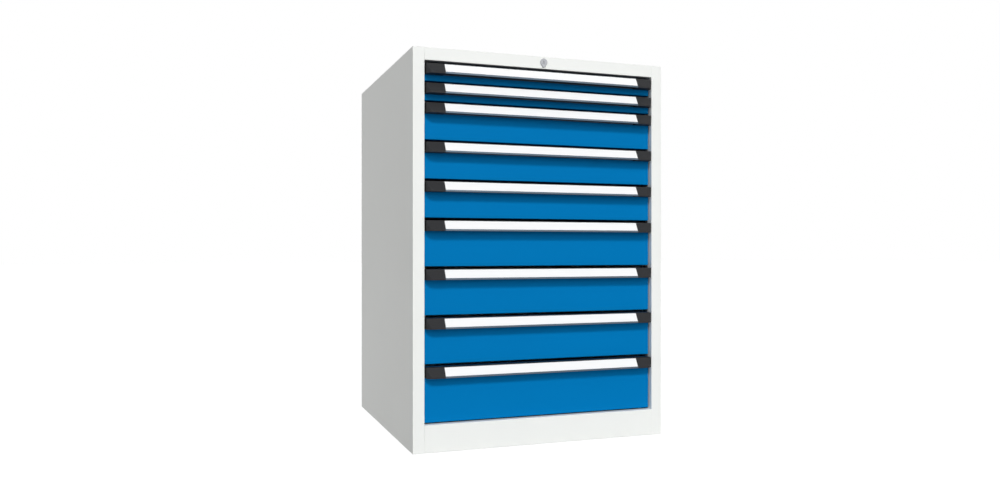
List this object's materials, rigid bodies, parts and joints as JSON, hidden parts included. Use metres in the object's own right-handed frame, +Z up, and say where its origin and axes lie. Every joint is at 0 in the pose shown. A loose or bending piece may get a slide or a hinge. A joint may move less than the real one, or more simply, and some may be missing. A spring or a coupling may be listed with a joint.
{
  "type": "multi-drawer cabinet",
  "caption": "Floor-standing workshop cabinet of folded sheet steel with full-width drawers on telescopic slides, label-channel handle bars with moulded end caps and a central lock.",
  "frame": {"origin": "on the floor, under the middle of the whole outline, handles included", "axes": "+Z up, +X to the right seen from the front, -Y the way the drawers pull out"},
  "size_m": [0.715, 0.7168, 1.032],
  "materials": {
    "carcass_paint": "light grey powder coat, fine texture",
    "front_paint": "blue powder coat, satin",
    "handle_aluminium": "anodised extrusion, satin",
    "cap_plastic": "black moulded plastic, fine grain",
    "label_paper": "blank white label strip",
    "tray_steel": "light grey powder coat",
    "zinc_steel": "zinc-plated steel",
    "lock_metal": "nickel-plated die-cast zinc"
  },
  "bodies": {
    "cabinet": {"left_side_panel": "carcass_paint", "right_side_panel": "carcass_paint", "back_panel": "carcass_paint", "top_panel": "carcass_paint", "floor_panel": "carcass_paint", "top_front_rail": "carcass_paint", "base_front_rail": "carcass_paint", "slotted_posts": "zinc_steel", "left_cabinet_rails": "zinc_steel", "right_cabinet_rails": "zinc_steel", "lock_housing": "lock_metal", "lock_brackets": "zinc_steel"},
    "drawer_1": {"drawer_1_tray": "tray_steel", "drawer_1_front": "front_paint", "drawer_1_handle": "handle_aluminium", "drawer_1_end_caps": "cap_plastic"},
    "runner_1": {"runner_1": "zinc_steel"},
    "drawer_2": {"drawer_2_tray": "tray_steel", "drawer_2_front": "front_paint", "drawer_2_handle": "handle_aluminium", "drawer_2_end_caps": "cap_plastic"},
    "runner_2": {"runner_2": "zinc_steel"},
    "drawer_3": {"drawer_3_tray": "tray_steel", "drawer_3_front": "front_paint", "drawer_3_handle": "handle_aluminium", "drawer_3_end_caps": "cap_plastic"},
    "runner_3": {"runner_3": "zinc_steel"},
    "drawer_4": {"drawer_4_tray": "tray_steel", "drawer_4_front": "front_paint", "drawer_4_handle": "handle_aluminium", "drawer_4_end_caps": "cap_plastic"},
    "runner_4": {"runner_4": "zinc_steel"},
    "drawer_5": {"drawer_5_tray": "tray_steel", "drawer_5_front": "front_paint", "drawer_5_handle": "handle_aluminium", "drawer_5_end_caps": "cap_plastic"},
    "runner_5": {"runner_5": "zinc_steel"},
    "drawer_6": {"drawer_6_tray": "tray_steel", "drawer_6_front": "front_paint", "drawer_6_handle": "handle_aluminium", "drawer_6_end_caps": "cap_plastic"},
    "runner_6": {"runner_6": "zinc_steel"},
    "drawer_7": {"drawer_7_tray": "tray_steel", "drawer_7_front": "front_paint", "drawer_7_handle": "handle_aluminium", "drawer_7_end_caps": "cap_plastic"},
    "runner_7": {"runner_7": "zinc_steel"},
    "drawer_8": {"drawer_8_tray": "tray_steel", "drawer_8_front": "front_paint", "drawer_8_handle": "handle_aluminium", "drawer_8_end_caps": "cap_plastic"},
    "runner_8": {"runner_8": "zinc_steel"},
    "drawer_9": {"drawer_9_tray": "tray_steel", "drawer_9_front": "front_paint", "drawer_9_handle": "handle_aluminium", "drawer_9_end_caps": "cap_plastic"},
    "runner_9": {"runner_9": "zinc_steel"},
    "lock_cylinder": {"lock_plug": "lock_metal", "lock_shaft": "zinc_steel"},
    "lock_bar": {"lock_bar": "zinc_steel"}
  },
  "joints": [
    {"name": "drawer_1_slide", "type": "slide", "parent": "cabinet", "child": "drawer_1", "axis": [0, -1, 0], "range_m": [0, 0.6]},
    {"name": "runner_1_slide", "type": "slide", "parent": "cabinet", "child": "runner_1", "axis": [0, -1, 0], "range_m": [0, 0.3]},
    {"name": "drawer_2_slide", "type": "slide", "parent": "cabinet", "child": "drawer_2", "axis": [0, -1, 0], "range_m": [0, 0.6]},
    {"name": "runner_2_slide", "type": "slide", "parent": "cabinet", "child": "runner_2", "axis": [0, -1, 0], "range_m": [0, 0.3]},
    {"name": "drawer_3_slide", "type": "slide", "parent": "cabinet", "child": "drawer_3", "axis": [0, -1, 0], "range_m": [0, 0.6]},
    {"name": "runner_3_slide", "type": "slide", "parent": "cabinet", "child": "runner_3", "axis": [0, -1, 0], "range_m": [0, 0.3]},
    {"name": "drawer_4_slide", "type": "slide", "parent": "cabinet", "child": "drawer_4", "axis": [0, -1, 0], "range_m": [0, 0.6]},
    {"name": "runner_4_slide", "type": "slide", "parent": "cabinet", "child": "runner_4", "axis": [0, -1, 0], "range_m": [0, 0.3]},
    {"name": "drawer_5_slide", "type": "slide", "parent": "cabinet", "child": "drawer_5", "axis": [0, -1, 0], "range_m": [0, 0.6]},
    {"name": "runner_5_slide", "type": "slide", "parent": "cabinet", "child": "runner_5", "axis": [0, -1, 0], "range_m": [0, 0.3]},
    {"name": "drawer_6_slide", "type": "slide", "parent": "cabinet", "child": "drawer_6", "axis": [0, -1, 0], "range_m": [0, 0.6]},
    {"name": "runner_6_slide", "type": "slide", "parent": "cabinet", "child": "runner_6", "axis": [0, -1, 0], "range_m": [0, 0.3]},
    {"name": "drawer_7_slide", "type": "slide", "parent": "cabinet", "child": "drawer_7", "axis": [0, -1, 0], "range_m": [0, 0.6]},
    {"name": "runner_7_slide", "type": "slide", "parent": "cabinet", "child": "runner_7", "axis": [0, -1, 0], "range_m": [0, 0.3]},
    {"name": "drawer_8_slide", "type": "slide", "parent": "cabinet", "child": "drawer_8", "axis": [0, -1, 0], "range_m": [0, 0.6]},
    {"name": "runner_8_slide", "type": "slide", "parent": "cabinet", "child": "runner_8", "axis": [0, -1, 0], "range_m": [0, 0.3]},
    {"name": "drawer_9_slide", "type": "slide", "parent": "cabinet", "child": "drawer_9", "axis": [0, -1, 0], "range_m": [0, 0.6]},
    {"name": "runner_9_slide", "type": "slide", "parent": "cabinet", "child": "runner_9", "axis": [0, -1, 0], "range_m": [0, 0.3]},
    {"name": "lock_turn", "type": "hinge", "parent": "cabinet", "child": "lock_cylinder", "pos_m": [0, -0.34155, 1.0173], "axis": [0, -1, 0], "range_deg": [0, 90]},
    {"name": "lock_bar_lift", "type": "slide", "parent": "cabinet", "child": "lock_bar", "axis": [0, 0, 1], "range_m": [0, 0.01]}
  ],
  "couplings": [
    {"joint": "runner_1_slide", "follows": "drawer_1_slide", "ratio": 0.5},
    {"joint": "runner_2_slide", "follows": "drawer_2_slide", "ratio": 0.5},
    {"joint": "runner_3_slide", "follows": "drawer_3_slide", "ratio": 0.5},
    {"joint": "runner_4_slide", "follows": "drawer_4_slide", "ratio": 0.5},
    {"joint": "runner_5_slide", "follows": "drawer_5_slide", "ratio": 0.5},
    {"joint": "runner_6_slide", "follows": "drawer_6_slide", "ratio": 0.5},
    {"joint": "runner_7_slide", "follows": "drawer_7_slide", "ratio": 0.5},
    {"joint": "runner_8_slide", "follows": "drawer_8_slide", "ratio": 0.5},
    {"joint": "runner_9_slide", "follows": "drawer_9_slide", "ratio": 0.5},
    {"joint": "lock_turn", "follows": "lock_bar_lift", "rad_per_m": 157.08}
  ]
}
